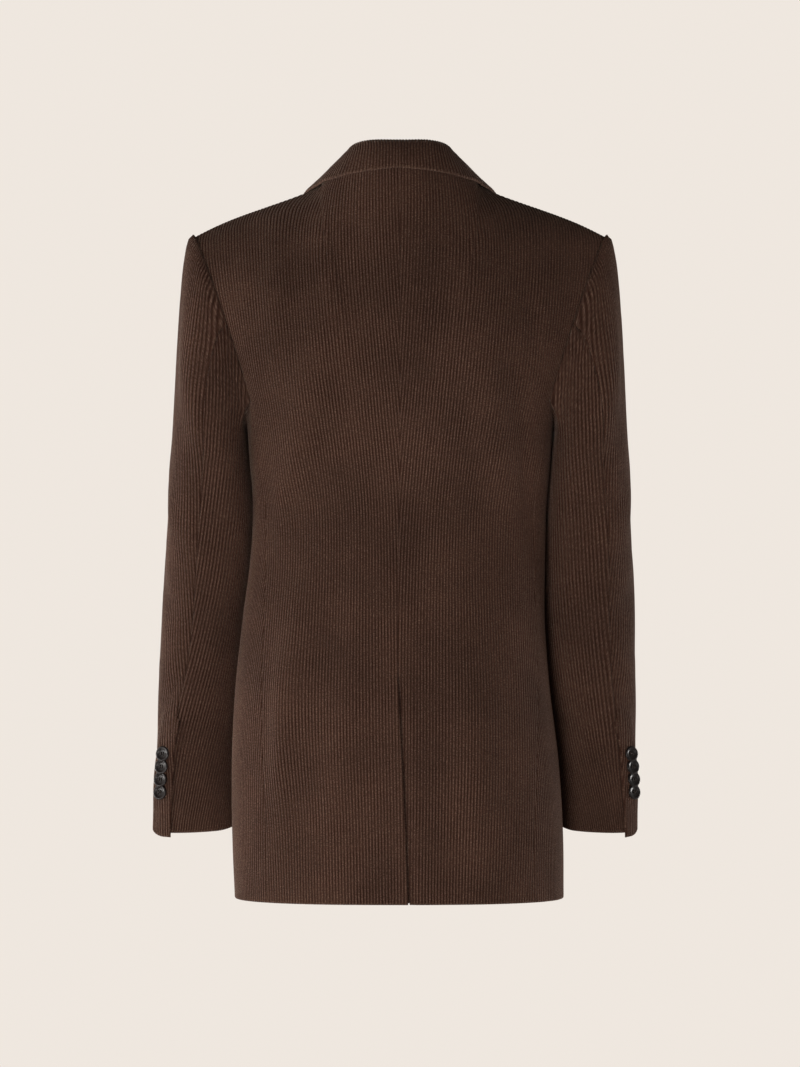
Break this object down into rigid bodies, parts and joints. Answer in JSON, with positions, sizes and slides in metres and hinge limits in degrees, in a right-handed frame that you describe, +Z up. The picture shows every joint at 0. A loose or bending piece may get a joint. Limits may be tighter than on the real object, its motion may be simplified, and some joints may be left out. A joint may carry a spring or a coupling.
{
  "type": "corduroy blazer",
  "caption": "Wide-wale corduroy blazer, filled out as if worn: notched collar, centre-back vent, long sleeves with buttoned cuff vents, open at neck, hem and cuffs.",
  "frame": {"origin": "midway between the two shoulder points, at the height where the sleeve seams start: where a wearer's shoulders or a hanger hold the jacket up", "axes": "+Z up, +Y towards the jacket's back, -Y its front, +X the wearer's left"},
  "size_m": [0.4899, 0.2711, 0.7538],
  "materials": {
    "corduroy": "dark brown cotton cord with wide wales and a short matt pile",
    "horn": "dark grey-brown horn, polished"
  },
  "bodies": {
    "root": {"back_left": "corduroy", "back_right": "corduroy", "side_left": "corduroy", "side_right": "corduroy", "front_left": "corduroy", "front_right": "corduroy", "lapel_left": "corduroy", "lapel_right": "corduroy", "collar": "corduroy", "sleeve_upper_left": "corduroy", "sleeve_upper_right": "corduroy", "sleeve_under_left": "corduroy", "sleeve_under_right": "corduroy", "cuff_button_left_1": "horn", "cuff_button_left_2": "horn", "cuff_button_left_3": "horn", "cuff_button_left_4": "horn", "cuff_button_right_1": "horn", "cuff_button_right_2": "horn", "cuff_button_right_3": "horn", "cuff_button_right_4": "horn", "front_button_1": "horn", "front_button_2": "horn"}
  },
  "joints": []
}
